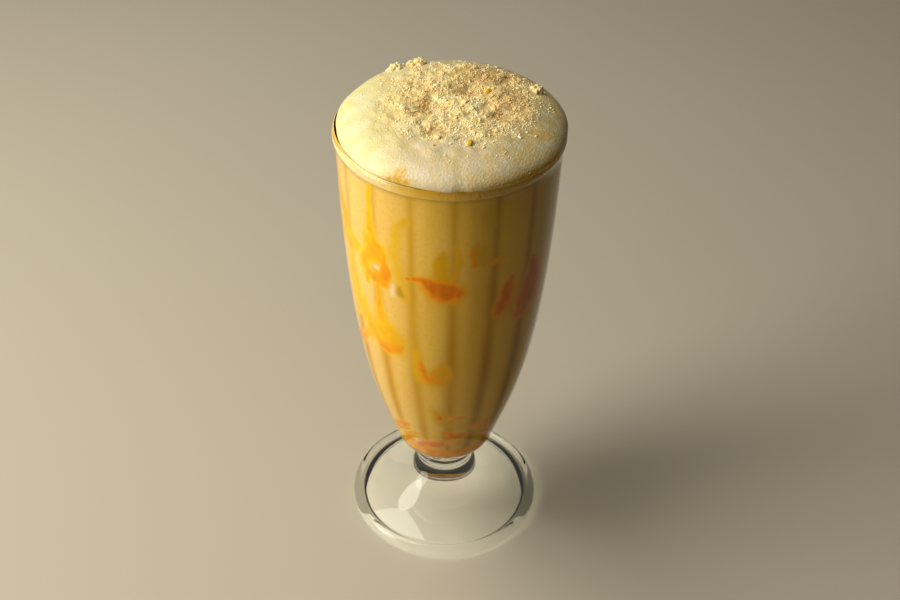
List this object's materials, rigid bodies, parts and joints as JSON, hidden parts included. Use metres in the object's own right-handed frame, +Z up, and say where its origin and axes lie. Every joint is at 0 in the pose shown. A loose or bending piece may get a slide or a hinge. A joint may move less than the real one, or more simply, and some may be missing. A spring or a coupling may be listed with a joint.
{
  "type": "mango milkshake",
  "caption": "Mango milkshake in a tall footed soda glass, fluted inside, filled past the rim with a dome of froth and biscuit crumbs.",
  "frame": {"origin": "on the glass's axis, on the surface that the foot stands on", "axes": "+Z up the glass's axis, -Y towards the front as pictured, +X to the right"},
  "size_m": [0.0821, 0.082, 0.196],
  "materials": {
    "glass": "clear pressed glass, polished",
    "milkshake": "wet, thick mango drink with streaks of orange puree",
    "froth": "moist creamy froth with fine bubbles and golden crumbs"
  },
  "bodies": {
    "root": {"glass": "glass", "milkshake": "milkshake", "froth": "froth"}
  },
  "joints": []
}
